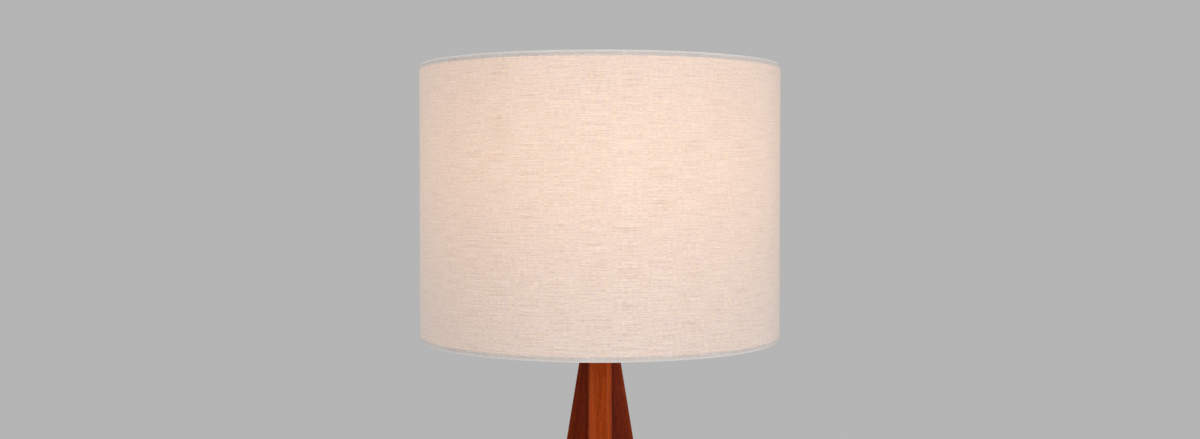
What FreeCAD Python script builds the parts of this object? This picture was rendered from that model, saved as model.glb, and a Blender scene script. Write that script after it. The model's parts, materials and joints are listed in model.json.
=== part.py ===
import FreeCAD, Part
import math
import os

from FreeCAD import Vector

# Tripod table lamp: three mitred wooden legs, a pipe that clamps them, a harp, a switched lampholder
# with its bulb, and a drum shade of linen over two wire rings.
# Millimetres, +Z up, origin on the table under the lamp's axis. The front leg points along -Y.

# Wooden legs
leg_height = 398.0            # top of the wood above the table
leg_thickness = 23.5
leg_top_reach = 11.8          # outer edge from the axis at the top
leg_splay_deg = 10.6          # outer edge from the vertical
foot_width = 20.0             # measured from the axis outwards
foot_corner = 4.0
crotch_height = 226.0         # flat underside of the joined core
crotch_reach = 17.0           # where the inner edge would meet that underside
crotch_round = 7.0
leg_edge_round = 2.5
front_leg_deg = -90.0         # direction of the front leg in the plan
leg_step_deg = 120.0          # from one leg to the next

# Dowels across the mitres
dowel_d = 5.0
dowel_length = 20.0
dowel_inset = 40.0            # from the top and from the underside of the core
dowel_fit = 0.05

# Nail-on glides under the feet
glide_d = 16.0
glide_height = 4.0
glide_edge = 1.2
nail_d = 2.2
nail_length = 14.0
nail_head_d = 6.0
nail_head_height = 1.4
nail_fit = 0.05

# Lamp pipe and what clamps the core on it
pipe_d = 10.0
pipe_bore_d = 6.8
pipe_hole_fit = 0.3           # radial, in the wood and the loose pieces
thread_fit = 0.05             # radial, where pieces screw together
washer_rim = 6.0              # width of the washer's ring
washer_thickness = 1.6
nut_wall = 2.15
nut_height = 4.0
nut_chamfer = 0.6
nut_sides = 6
bushing_wall = 2.0
bushing_mouth_d = 6.2
bushing_grip = 6.0            # length over the pipe
bushing_lip = 4.5             # length below the pipe
bushing_flare = 1.2

# Cap and neck on top of the wood
cap_overhang = 1.0
cap_rim_height = 3.0
cap_seat_height = 2.0
cap_seat_margin = 1.0         # seat outside the neck's bead
cap_slope = 1.5
cap_edge = 0.8
cap_shoulder = 1.6
neck_wall = 1.7
neck_length = 32.0
neck_bead = 1.5               # bead outside the tube
neck_bead_height = 3.4

# Harp and its saddle
saddle_thickness = 1.6
saddle_hub_wall = 4.2
saddle_waist = 9.0
saddle_bend = 1.6             # inside the bend
ear_width = 9.0
ear_height = 6.0              # shoulder of the ear above the saddle's underside
tongue_width = 3.2
tongue_height = 20.0          # above the saddle's underside
harp_clearance = 4.2          # lampholder to sleeve
harp_wire_d = 4.0
harp_height = 201.0           # saddle's underside to the shade's seat
harp_straight = 39.0          # straight foot of the wire above the saddle's underside
harp_foot_gap = 1.0           # wire's end above the ear's shoulder
harp_halved_past = 0.4        # halved foot above the tongue
harp_foot_bend = 60.0
harp_shoulder_bend = 46.0
harp_flat_half = 8.0          # half the straight run at the top
sleeve_wall = 1.1
sleeve_length = 14.0
sleeve_fit = 0.34             # radial, over the tongue's corners
sleeve_edge = 0.4
stud_d = 6.35
stud_length = 11.5
stud_edge = 0.8
seat_d = 18.0
seat_thickness = 2.0
seat_edge = 0.5
stud_block_d = 12.0
stud_block_below = 2.2        # block under the wire
wire_fit = 0.05

# Finial
finial_foot_d = 15.0
finial_foot_height = 2.4
finial_waist_height = 5.6
finial_wall = 1.4
finial_height = 19.0
finial_ball_d = 13.0
finial_ring = 0.8             # ring under the ball, outside the waist
finial_ring_height = 1.6
finial_edge = 0.7
insert_wall = 1.2
insert_length = 10.0
insert_recess = 0.4
insert_fit = 0.05
stud_fit = 0.12

# Lampholder, from the bulb's screw outwards
bulb_base_d = 25.8
bulb_fit = 0.4
screw_shell_wall = 0.5
screw_shell_height = 24.0
paper_gap = 0.5               # screw shell to paper
paper_wall = 0.8
holder_gap = 0.3              # paper to brass, and brass to brass
holder_wall = 0.7
holder_height = 62.0
holder_seat = 0.5             # brass shell above the cup's bend
holder_overlap = 8.0          # brass shell inside the cap
holder_bead = 1.0
holder_bead_height = 3.0
holder_bead_below = 15.0      # bead below the shell's lip
hub_wall = 2.0
hub_height = 9.0
hub_edge = 0.8
cup_rise = 4.5
cup_bend = 3.0
boss_d = 21.0
boss_margin = 0.5             # cup's flat floor outside the boss
boss_height = 5.0
interior_height = 25.0
wire_room = 12.0              # depth of the way for the wires
contact_length = 8.0          # sprung tongue under the bulb's tip
contact_width = 5.0
contact_strip = 0.6
contact_foot = 2.6            # riveted end
contact_slope = 1.6
contact_crown = 1.6           # flat that the bulb's tip presses on
contact_drop = 1.0            # free end below the crown
contact_height = 3.0
contact_bend = 0.5
contact_gap = 0.8             # tongue's corners to the screw shell's floor
rivet_d = 2.0
rivet_height = 0.5
terminal_screw_d = 3.4
terminal_head_d = 6.0
terminal_head_height = 1.8
terminal_depth = 6.0
terminal_pocket = 3.0
terminal_margin = 1.0
terminal_rise = 15.0          # above the cup's floor
set_screw_d = 3.2
set_screw_length = 5.0
set_screw_rise = 4.0
slot_width = 0.6
slot_depth = 1.0

# Turn knob of the switch
stem_d = 4.4
stem_fit = 0.2
stem_inner_end = 6.0          # from the lamp's axis
stem_above_cap = 6.0
stem_out = 8.0                # past the brass shell
stem_hole_margin = 1.8
knob_gap = 2.0                # brass shell to knob
knob_collar_wall = 2.3
knob_collar_length = 4.0
knob_width = 15.0
knob_end_width = 8.5
knob_thickness = 6.0
knob_length = 15.0
knob_side_round = 3.7
knob_end_round = 2.0
knob_edge = 1.1
thumb_width = 9.0             # hollow in each flat of the grip
thumb_depth = 0.8

# Bulb
bulb_d = 60.0
bulb_length = 110.0
bulb_tip_d = 9.5
bulb_tip_height = 1.6
bulb_tip_edge = 0.7
bulb_cone_height = 4.0
bulb_base_wall = 0.6
bulb_base_chamfer = 1.5
bulb_screw_height = 20.0
bulb_neck_step = 0.5          # glass outside the screw
bulb_shoulder_step = 1.1      # shoulder outside the neck
bulb_shoulder_height = 14.0
bulb_shoulder_bend = 40.0
glass_wall = 0.8
mount_foot_height = 1.2
mount_cone_height = 18.0
mount_height = 34.0
mount_rod_d = 7.0
mount_bend = 6.0
mount_tip = 1.5
filament_d = 0.9
filament_half = 11.0
filament_rise = 14.0
filament_arch = 4.0
lead_spread = 3.5
lead_rise = 4.0

# Shade
shade_d = 356.0
shade_height = 270.0
fitter_drop = 20.0            # top rim above the top of the fitter's washer
fabric_thickness = 0.6
liner_thickness = 0.5
glue_gap = 0.1                # linen to liner
ring_wire_d = 3.0
hem_fit = 0.5                 # linen to ring
hem_lip = 4.0                 # turned-in edge beyond the middle of the ring
spider_wire_d = 2.8
spider_rim = 3.0              # washer outside the harp's seat
spider_washer_thickness = 2.0
spider_hole_fit = 0.45
spider_stop = 0.8             # arm's end short of the middle of the ring
spider_slit = 0.5             # hem cut back around each arm
spider_first_deg = 90.0       # direction of the first arm in the plan
spider_step_deg = 120.0

# How far cutting tools run past what they cut, and what shares of an edge or of a plate roundings may take
cut_past = 1.0
edge_share = 0.9
plate_share = 0.4
same_place = 1e-6

# Directions in the plan
leg_directions = {
    "front": front_leg_deg,
    "rear_left": front_leg_deg - leg_step_deg,
    "rear_right": front_leg_deg + leg_step_deg,
}
mitre_deg = leg_step_deg / 2
spider_directions = [spider_first_deg + i * spider_step_deg for i in range(3)]

# Heights that follow from the sizes above
up = Vector(0, 0, 1)
neck_z = leg_height + cap_rim_height + cap_seat_height
saddle_z = neck_z + neck_length
holder_z = saddle_z + saddle_thickness
cup_z = holder_z + hub_height
holder_shell_z = cup_z + cup_rise + holder_seat
holder_cap_top_z = holder_shell_z + holder_overlap
holder_top_z = holder_z + holder_height
stem_z = holder_cap_top_z + stem_above_cap
contact_z = cup_z + interior_height
bulb_z = contact_z + contact_height
bulb_screw_z = bulb_z + bulb_tip_height + bulb_cone_height
bulb_neck_z = bulb_screw_z + bulb_screw_height
bulb_ball_z = bulb_z + bulb_length - bulb_d / 2
mount_top_z = bulb_neck_z + mount_height
seat_z = saddle_z + harp_height
wire_top_z = seat_z - seat_thickness - harp_wire_d / 2
finial_z = seat_z + spider_washer_thickness
shade_top_z = finial_z + fitter_drop
shade_bottom_z = shade_top_z - shade_height
nut_top_z = crotch_height - washer_thickness
pipe_bottom_z = nut_top_z - nut_height - bushing_grip

# Radii that follow from the sizes above
pipe_r = pipe_d / 2
pipe_hole_r = pipe_r + pipe_hole_fit
thread_r = pipe_r + thread_fit
neck_r = pipe_hole_r + neck_wall
neck_bead_r = neck_r + neck_bead
saddle_hub_r = pipe_hole_r + saddle_hub_wall
screw_shell_r = bulb_base_d / 2 + bulb_fit + screw_shell_wall
paper_r = screw_shell_r + paper_gap + paper_wall
holder_r = paper_r + holder_gap + holder_wall
holder_cap_r = holder_r + holder_gap + holder_wall
sleeve_bore_r = max(harp_wire_d / 2, math.hypot(tongue_width / 2, saddle_thickness)) + sleeve_fit
sleeve_r = sleeve_bore_r + sleeve_wall
harp_foot_x = holder_cap_r + harp_clearance + sleeve_r
insert_r = stud_d / 2 + stud_fit + insert_wall
finial_waist_r = insert_r + insert_fit + finial_wall
spider_washer_r = seat_d / 2 + spider_rim
fabric_r = shade_d / 2
hem_r = ring_wire_d / 2 + hem_fit + fabric_thickness
ring_r = fabric_r - hem_r
liner_r = fabric_r - fabric_thickness - glue_gap
ring_top_z = shade_top_z - hem_r
ring_bottom_z = shade_bottom_z + hem_r
bulb_neck_r = bulb_base_d / 2 + bulb_neck_step


def point(x, z):
    return Vector(x, 0, z)


def rounded_outline(corners):
    """Closed wire in the XZ plane through (x, z) or (x, z, radius) corners, with arcs at the radii."""
    ends = []
    count = len(corners)
    for i, corner in enumerate(corners):
        here = point(corner[0], corner[1])
        radius = corner[2] if len(corner) > 2 else 0.0
        if not radius:
            ends.append((here, None, here))
            continue
        before = (point(*corners[i - 1][:2]) - here).normalize()
        after = (point(*corners[(i + 1) % count][:2]) - here).normalize()
        half = before.getAngle(after) / 2
        reach = radius / math.tan(half)
        middle = (before + after).normalize() * (radius / math.sin(half) - radius)
        ends.append((here + before * reach, here + middle, here + after * reach))
    edges = []
    for i, (start, middle, end) in enumerate(ends):
        if middle is not None:
            edges.append(Part.Arc(start, middle, end).toShape())
        following = ends[(i + 1) % count][0]
        if end.distanceToPoint(following) > same_place:
            edges.append(Part.LineSegment(end, following).toShape())
    return Part.Wire(edges)


def turned(corners):
    """Solid of revolution about the lamp's axis."""
    return Part.Face(rounded_outline(corners)).revolve(Vector(), up, 360)


def ring_of(outer_r, inner_r, bottom, top):
    return turned([(inner_r, bottom), (outer_r, bottom), (outer_r, top), (inner_r, top)])


def rod(radius, start, end):
    way = end - start
    return Part.makeCylinder(radius, way.Length, start, way)


def block(corner, opposite):
    low = Vector(min(corner.x, opposite.x), min(corner.y, opposite.y), min(corner.z, opposite.z))
    high = Vector(max(corner.x, opposite.x), max(corner.y, opposite.y), max(corner.z, opposite.z))
    size = high - low
    return Part.makeBox(size.x, size.y, size.z, low)


def across(direction_deg, distance, z):
    """Point at a distance from the axis in a compass direction of the plan."""
    angle = math.radians(direction_deg)
    return Vector(distance * math.cos(angle), distance * math.sin(angle), z)


def leg_outer(z):
    """Distance of a leg's outer edge from the axis at a height."""
    return leg_top_reach + (leg_height - z) * math.tan(math.radians(leg_splay_deg))


def dowel_ends():
    """Ends of the dowels, two across each mitre, square to the plane where two legs meet."""
    notch_r = leg_thickness / 2 / math.sin(math.radians(mitre_deg))
    from_axis = (pipe_hole_r + notch_r) / 2
    ends = []
    for direction in leg_directions.values():
        seam = direction + mitre_deg
        for z in (crotch_height + dowel_inset, leg_height - dowel_inset):
            middle = across(seam, from_axis, z)
            half = up.cross(across(seam, dowel_length / 2, 0))
            ends.append((middle - half, middle + half))
    return ends


def foot_nail(direction, fit=0.0):
    """Nail of a glide: a flat head in the glide and a shank up into the foot."""
    foot = across(direction, leg_outer(glide_height) - foot_width / 2, glide_height)
    head = rod(nail_head_d / 2 + fit, foot - up * (nail_head_height + fit), foot)
    shank = rod(nail_d / 2 + fit, foot - up * nail_head_height, foot + up * (nail_length + fit))
    return head.fuse(shank).removeSplitter()


def leg(direction):
    """Tapered leg cut from one board, its inner end mitred to 120 degrees and grooved for the pipe."""
    foot_outer = leg_outer(glide_height)
    outline = rounded_outline([
        (0, leg_height),
        (leg_top_reach, leg_height),
        (foot_outer, glide_height, foot_corner),
        (foot_outer - foot_width, glide_height, foot_corner),
        (crotch_reach, crotch_height, crotch_round),
        (0, crotch_height),
    ])
    board = Part.Face(outline).extrude(Vector(0, leg_thickness, 0))
    board.translate(Vector(0, -leg_thickness / 2, 0))
    # The rounding runs on from the long outer edges round the foot and up to the core's underside.
    outer_edges = []
    for edge in board.Edges:
        along = edge.tangentAt(edge.FirstParameter)
        centre = edge.CenterOfMass
        lies_outside = abs(centre.x - leg_outer(centre.z)) < leg_edge_round
        if lies_outside and abs(along.z) > 0.5 and edge.Length > leg_height / 2:
            outer_edges.append(edge)
    board = board.makeFillet(min(leg_edge_round, foot_corner * edge_share), outer_edges)
    side = foot_outer * math.tan(math.radians(mitre_deg))
    wedge = Part.Face(Part.makePolygon([
        Vector(),
        Vector(foot_outer, -side, 0),
        Vector(foot_outer, side, 0),
        Vector(),
    ])).extrude(up * leg_height)
    made = board.common(wedge)
    made.rotate(Vector(), up, direction)
    made = made.cut(rod(pipe_hole_r, up * (crotch_height - cut_past), up * (leg_height + cut_past)))
    for start, end in dowel_ends():
        made = made.cut(rod(dowel_d / 2 + dowel_fit, start, end))
    return made.cut(foot_nail(direction, nail_fit))


def glide(direction):
    """Nylon glide with a rounded edge, moulded round the head of its nail."""
    made = turned([
        (0, 0),
        (glide_d / 2, 0, glide_edge),
        (glide_d / 2, glide_height),
        (0, glide_height),
    ])
    made.translate(across(direction, leg_outer(glide_height) - foot_width / 2, 0))
    return made.cut(foot_nail(direction, nail_fit))


def lock_nut():
    """Hexagon nut with its lower corners chamfered."""
    flat_r = thread_r + nut_wall
    corner_r = flat_r / math.cos(math.pi / nut_sides)
    bottom = nut_top_z - nut_height
    corners = [across(360 * i / nut_sides, corner_r, bottom) for i in range(nut_sides + 1)]
    hexagon = Part.Face(Part.makePolygon(corners))
    chamfer = turned([
        (thread_r, bottom),
        (flat_r, bottom),
        (corner_r, bottom + nut_chamfer),
        (corner_r, nut_top_z),
        (thread_r, nut_top_z),
    ])
    return hexagon.extrude(up * nut_height).common(chamfer)


def cord_bushing():
    """Moulded bushing on the pipe's lower end, with a flared mouth for the supply cord."""
    bottom = pipe_bottom_z - bushing_lip
    mouth_r = bushing_mouth_d / 2
    return turned([
        (mouth_r, bottom, bushing_flare),
        (thread_r + bushing_wall, bottom, bushing_flare),
        (thread_r + bushing_wall, pipe_bottom_z + bushing_grip),
        (thread_r, pipe_bottom_z + bushing_grip),
        (thread_r, pipe_bottom_z),
        (mouth_r, pipe_bottom_z),
    ])


def top_cap():
    """Turned brass disc that covers the three mitred tops, with a raised seat for the neck."""
    rim_r = math.hypot(leg_top_reach, leg_thickness / 2) + cap_overhang
    seat_r = neck_bead_r + cap_seat_margin
    rim_z = leg_height + cap_rim_height
    return turned([
        (pipe_hole_r, leg_height),
        (rim_r, leg_height, cap_edge),
        (rim_r, rim_z, cap_shoulder),
        (seat_r + cap_slope, rim_z, cap_edge),
        (seat_r, neck_z, cap_edge),
        (pipe_hole_r, neck_z),
    ])


def neck():
    """Brass tube with a rounded bead at each end."""
    bead_round = min(neck_bead_height / 2, neck_bead) * edge_share
    return turned([
        (pipe_hole_r, neck_z),
        (neck_bead_r, neck_z, bead_round),
        (neck_bead_r, neck_z + neck_bead_height, bead_round),
        (neck_r, neck_z + neck_bead_height),
        (neck_r, saddle_z - neck_bead_height),
        (neck_bead_r, saddle_z - neck_bead_height, bead_round),
        (neck_bead_r, saddle_z, bead_round),
        (pipe_hole_r, saddle_z),
    ])


def harp_saddle():
    """Bent strip that carries the harp: a round hub, two waists and two ears that end in narrow tongues."""
    inside = harp_foot_x - saddle_thickness
    tongue_z = saddle_z + tongue_height
    half_width = max(saddle_hub_r, ear_width, saddle_waist)
    strip = Part.Face(rounded_outline([
        (-harp_foot_x, tongue_z),
        (-harp_foot_x, saddle_z, saddle_bend + saddle_thickness),
        (harp_foot_x, saddle_z, saddle_bend + saddle_thickness),
        (harp_foot_x, tongue_z),
        (inside, tongue_z),
        (inside, holder_z, saddle_bend),
        (-inside, holder_z, saddle_bend),
        (-inside, tongue_z),
    ])).extrude(Vector(0, 2 * half_width, 0))
    strip.translate(Vector(0, -half_width, 0))
    below = up * (saddle_z - cut_past)
    above = up * (tongue_z + cut_past)
    plan = rod(saddle_hub_r, below, above).fuse(block(
        below - Vector(harp_foot_x, saddle_waist / 2, 0),
        above + Vector(harp_foot_x, saddle_waist / 2, 0),
    ))
    shoulder = up * (saddle_z + ear_height)
    for end in (-1, 1):
        bend_x = end * (inside - saddle_bend)
        outer_x = end * (harp_foot_x + cut_past)
        plan = plan.fuse(block(
            below + Vector(bend_x, -ear_width / 2, 0),
            above + Vector(outer_x, ear_width / 2, 0),
        ))
        for side in (-1, 1):
            strip = strip.cut(block(
                shoulder + Vector(bend_x, side * tongue_width / 2, 0),
                above + Vector(outer_x, side * 2 * half_width, 0),
            ))
    return strip.common(plan).cut(rod(pipe_hole_r, below, above)).removeSplitter()


def harp_path():
    """Runs and tangent arcs from the right foot over the top to the left foot, and the right foot's end."""
    foot = point(harp_foot_x, saddle_z + ear_height + harp_foot_gap)
    bend_start = point(harp_foot_x, saddle_z + harp_straight)
    foot_centre = bend_start + Vector(harp_foot_bend, 0, 0)
    shoulder_centre = point(harp_flat_half, wire_top_z - harp_shoulder_bend)
    between = shoulder_centre - foot_centre
    # The straight side is the inner tangent of the two bends.
    bends = harp_foot_bend + harp_shoulder_bend
    lean = math.atan2(between.x, between.z) + math.asin(bends / between.Length)

    def on_foot(angle):
        return foot_centre - Vector(math.cos(angle), 0, -math.sin(angle)) * harp_foot_bend

    def on_shoulder(angle):
        return shoulder_centre + Vector(math.cos(angle), 0, -math.sin(angle)) * harp_shoulder_bend

    top = on_shoulder(-math.pi / 2)
    right = [
        Part.LineSegment(foot, bend_start).toShape(),
        Part.Arc(bend_start, on_foot(lean / 2), on_foot(lean)).toShape(),
        Part.LineSegment(on_foot(lean), on_shoulder(lean)).toShape(),
        Part.Arc(on_shoulder(lean), on_shoulder((lean - math.pi / 2) / 2), top).toShape(),
    ]
    flat = Part.LineSegment(top, point(-top.x, top.z)).toShape()
    left = [edge.mirror(Vector(), Vector(1, 0, 0)) for edge in reversed(right)]
    return Part.Wire(right + [flat] + left), foot


def harp():
    """Sprung wire loop round the bulb. Each foot is halved where it lies against the saddle's tongue."""
    path, foot = harp_path()
    section = Part.Wire(Part.makeCircle(harp_wire_d / 2, foot, up))
    wire = path.makePipeShell([section], True, False)
    for end in (-1, 1):
        wire = wire.cut(block(
            Vector(end * (harp_foot_x - harp_wire_d), -harp_wire_d, saddle_z),
            Vector(end * harp_foot_x, harp_wire_d, saddle_z + tongue_height + harp_halved_past),
        ))
    return wire


def harp_sleeve(end):
    """Short tube that slides down over the wire and the tongue and locks them together."""
    bottom = saddle_z + ear_height
    made = turned([
        (sleeve_bore_r, bottom),
        (sleeve_r, bottom, sleeve_edge),
        (sleeve_r, bottom + sleeve_length, sleeve_edge),
        (sleeve_bore_r, bottom + sleeve_length),
    ])
    made.translate(Vector(end * harp_foot_x, 0, 0))
    return made


def harp_stud():
    """Seat for the shade with its stud, on a block that the harp's wire runs through."""
    block_z = wire_top_z - harp_wire_d / 2 - stud_block_below
    made = turned([
        (0, block_z),
        (stud_block_d / 2, block_z, stud_edge),
        (stud_block_d / 2, seat_z - seat_thickness),
        (seat_d / 2, seat_z - seat_thickness, seat_edge),
        (seat_d / 2, seat_z),
        (stud_d / 2, seat_z),
        (stud_d / 2, seat_z + stud_length, stud_edge),
        (0, seat_z + stud_length),
    ])
    return made.cut(rod(harp_wire_d / 2 + wire_fit, point(-seat_d, wire_top_z), point(seat_d, wire_top_z)))


def finial():
    """Turned brass knob: a flared foot, a waist, a ring and a ball, bored for its tapped bush."""
    ball_r = finial_ball_d / 2
    ball_z = finial_z + finial_height - ball_r
    ring_z = ball_z - math.sqrt(max(ball_r ** 2 - finial_waist_r ** 2, 0))
    body = turned([
        (0, finial_z),
        (finial_foot_d / 2, finial_z, finial_edge),
        (finial_foot_d / 2, finial_z + finial_foot_height, finial_edge),
        (finial_waist_r, finial_z + finial_waist_height, finial_edge),
        (finial_waist_r, ball_z),
        (0, ball_z),
    ])
    ball = Part.makeSphere(ball_r, up * ball_z)
    ring_r_out = finial_waist_r + finial_ring
    ring = turned([
        (0, ring_z - finial_ring_height),
        (ring_r_out, ring_z - finial_ring_height, finial_edge),
        (ring_r_out, ring_z, finial_edge),
        (0, ring_z),
    ])
    bore_top = finial_z + insert_recess + insert_length + insert_fit
    bore = rod(insert_r + insert_fit, up * (finial_z - cut_past), up * bore_top)
    return body.fuse([ball, ring]).removeSplitter().cut(bore)


def finial_insert():
    """Tapped bush in the finial that runs on the stud."""
    bottom = finial_z + insert_recess
    return ring_of(insert_r, stud_d / 2 + stud_fit, bottom, bottom + insert_length)


def switch_point(distance):
    """Point on the switch's axis, which leaves the lampholder towards the front."""
    return Vector(0, -distance, stem_z)


def switch_hole(radius):
    return rod(radius, switch_point(stem_inner_end - stem_fit), switch_point(2 * holder_cap_r))


def switch_notch():
    """Hole for the switch's stem, open to the lower edge so that a shell lifts off over it."""
    radius = stem_d / 2 + stem_hole_margin
    inner = switch_point(stem_inner_end)
    below = Vector(0, -2 * holder_cap_r, holder_shell_z - cut_past)
    sideways = Vector(radius, 0, 0)
    return switch_hole(radius).fuse(block(inner - sideways, below + sideways))


def set_screw_body(fit=0.0):
    middle = up * (holder_z + set_screw_rise)
    outwards = Vector(0, 1, 0)
    start = middle + outwards * pipe_r
    return rod(set_screw_d / 2 + fit, start, start + outwards * set_screw_length)


def holder_cap():
    """Drawn brass cup with a tapped hub that screws on the pipe."""
    hub_r = thread_r + hub_wall
    floor_r = boss_d / 2 + boss_margin
    bend_z = cup_z + cup_rise
    half_wall = holder_wall / 2
    made = turned([
        (thread_r, holder_z),
        (hub_r, holder_z, hub_edge),
        (hub_r, cup_z - holder_wall, hub_edge),
        (floor_r + half_wall, cup_z - holder_wall),
        (holder_cap_r, bend_z - half_wall, cup_bend),
        (holder_cap_r, holder_cap_top_z),
        (holder_cap_r - holder_wall, holder_cap_top_z),
        (holder_cap_r - holder_wall, bend_z, cup_bend - holder_wall),
        (floor_r, cup_z),
        (thread_r, cup_z),
    ])
    return made.cut(set_screw_body(thread_fit))


def set_screw():
    """Slotted screw that locks the cap on the pipe."""
    end = Vector(0, pipe_r + set_screw_length, holder_z + set_screw_rise)
    slot = block(
        end - Vector(set_screw_d, slot_depth, slot_width / 2),
        end + Vector(set_screw_d, cut_past, slot_width / 2),
    )
    return set_screw_body().cut(slot)


def holder_shell():
    """Brass shell of the lampholder, with a rolled lip, a bead and the notch for the switch."""
    bead_z = holder_top_z - holder_bead_below
    lip_z = holder_top_z - 2 * holder_bead
    bead_r = holder_r + holder_bead
    made = turned([
        (holder_r - holder_wall, holder_shell_z),
        (holder_r, holder_shell_z),
        (holder_r, bead_z - holder_bead_height / 2),
        (bead_r, bead_z, holder_bead),
        (holder_r, bead_z + holder_bead_height / 2),
        (holder_r, lip_z),
        (bead_r, lip_z, holder_bead / 2),
        (bead_r, holder_top_z, holder_bead / 2),
        (holder_r - holder_wall, holder_top_z),
    ])
    return made.cut(switch_notch())


def holder_paper():
    """Insulating paper sleeve between the brass shell and the live pieces."""
    made = ring_of(paper_r, paper_r - paper_wall, holder_shell_z, holder_top_z - 2 * holder_bead)
    return made.cut(switch_notch())


def terminal_screw(side):
    """Round-headed screw in a pocket of the insulator, and the room that it needs there."""
    seat = point(side * (screw_shell_r - terminal_pocket), cup_z + terminal_rise)
    outwards = Vector(side, 0, 0)
    shank_end = seat - outwards * terminal_depth
    top = seat + outwards * terminal_head_height
    slot = block(
        top - outwards * slot_depth - Vector(0, terminal_head_d, slot_width / 2),
        top + outwards * cut_past + Vector(0, terminal_head_d, slot_width / 2),
    )
    head = rod(terminal_head_d / 2, seat, top).cut(slot)
    shank = rod(terminal_screw_d / 2, shank_end, seat)
    hole = rod(terminal_screw_d / 2 + thread_fit, shank_end, seat)
    half = Vector(0, terminal_head_d / 2 + terminal_margin, terminal_head_d / 2 + terminal_margin)
    pocket = block(seat - half, seat + half + outwards * (terminal_pocket + cut_past))
    return head.fuse(shank), pocket.fuse(hole)


def holder_interior():
    """Moulded insulator on the cup's floor for the contacts and the switch, with a way for the wires."""
    made = turned([
        (pipe_bore_d / 2, cup_z),
        (boss_d / 2, cup_z),
        (boss_d / 2, cup_z + boss_height),
        (screw_shell_r, cup_z + boss_height),
        (screw_shell_r, contact_z),
        (0, contact_z),
        (0, cup_z + wire_room),
        (pipe_bore_d / 2, cup_z + wire_room),
    ])
    made = made.cut(switch_hole(stem_d / 2 + stem_fit))
    for side in (-1, 1):
        made = made.cut(terminal_screw(side)[1])
    return made


def screw_shell():
    """Thin brass shell that takes the bulb's screw, with a turned-in floor."""
    inner_r = screw_shell_r - screw_shell_wall
    floor_r = math.hypot(contact_length, contact_width) / 2 + contact_gap
    return turned([
        (floor_r, contact_z),
        (screw_shell_r, contact_z),
        (screw_shell_r, contact_z + screw_shell_height),
        (inner_r, contact_z + screw_shell_height),
        (inner_r, contact_z + screw_shell_wall),
        (floor_r, contact_z + screw_shell_wall),
    ])


def centre_contact():
    """Brass strip riveted to the insulator, bent up to a crown that presses on the bulb's tip."""
    start = -contact_length / 2
    foot_end = start + contact_foot
    crown_start = foot_end + contact_slope
    crown_end = crown_start + contact_crown
    end = contact_length / 2
    top = bulb_z
    under = top - contact_strip
    foot_top = contact_z + contact_strip
    strip = Part.Face(rounded_outline([
        (start, contact_z),
        (foot_end + contact_strip, contact_z, contact_bend),
        (crown_start + contact_strip, under, contact_bend),
        (crown_end, under, contact_bend),
        (end, under - contact_drop),
        (end, top - contact_drop),
        (crown_end, top, contact_bend),
        (crown_start, top, contact_bend),
        (foot_end, foot_top, contact_bend),
        (start, foot_top),
    ])).extrude(Vector(0, contact_width, 0))
    strip.translate(Vector(0, -contact_width / 2, 0))
    rivet = point(start + contact_foot / 2, foot_top)
    return strip.fuse(rod(rivet_d / 2, rivet, rivet + up * rivet_height)).removeSplitter()


def switch_stem():
    return rod(stem_d / 2, switch_point(stem_inner_end), switch_point(holder_r + stem_out))


def switch_knob():
    """Moulded turn knob: a round collar and a flat grip that swells and narrows, hollowed for the thumb."""
    near = holder_r + knob_gap + knob_collar_length
    far = holder_r + knob_gap + knob_length
    collar_r = stem_d / 2 + knob_collar_wall
    collar = rod(collar_r, switch_point(holder_r + knob_gap), switch_point(near + knob_edge))
    grip = Part.Face(rounded_outline([
        (knob_end_width / 2, -far, knob_end_round),
        (knob_width / 2, -(near + far) / 2, knob_side_round),
        (collar_r, -near),
        (-collar_r, -near),
        (-knob_width / 2, -(near + far) / 2, knob_side_round),
        (-knob_end_width / 2, -far, knob_end_round),
    ])).extrude(Vector(0, knob_thickness, 0))
    grip.translate(Vector(0, -knob_thickness / 2, 0))
    flat_edges = [edge for edge in grip.Edges if abs(edge.CenterOfMass.y) > knob_thickness * plate_share]
    grip = grip.makeFillet(min(knob_edge, knob_thickness * plate_share), flat_edges)
    grip.rotate(Vector(), Vector(1, 0, 0), -90)
    grip.translate(up * stem_z)
    hollow_r = (thumb_width ** 2 / 4 + thumb_depth ** 2) / (2 * thumb_depth)
    for side in (-1, 1):
        rise = up * (side * (knob_thickness / 2 - thumb_depth + hollow_r))
        grip = grip.cut(Part.makeSphere(hollow_r, switch_point((near + far) / 2) + rise))
    return collar.fuse(grip).removeSplitter().cut(switch_stem())


def bulb_solid(inset):
    """The bulb's glass as a solid, its surface moved inwards by inset."""
    ball_r = bulb_d / 2 - inset
    neck = point(bulb_neck_r - inset, bulb_neck_z)
    shoulder = neck + Vector(bulb_shoulder_step, 0, bulb_shoulder_height)
    from_ball = shoulder - point(0, bulb_ball_z)
    # The straight side of the glass is tangent to the ball.
    turn = math.atan2(from_ball.z, from_ball.x) + math.acos(ball_r / from_ball.Length)
    tangent = point(ball_r * math.cos(turn), bulb_ball_z + ball_r * math.sin(turn))
    cone = turned([
        (0, neck.z),
        (neck.x, neck.z),
        (shoulder.x, shoulder.z, bulb_shoulder_bend),
        (tangent.x, tangent.z),
        (0, tangent.z),
    ])
    ball = Part.makeSphere(ball_r, up * bulb_ball_z)
    return cone.fuse(ball).removeSplitter()


def bulb_globe():
    return bulb_solid(0).cut(bulb_solid(glass_wall))


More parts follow.
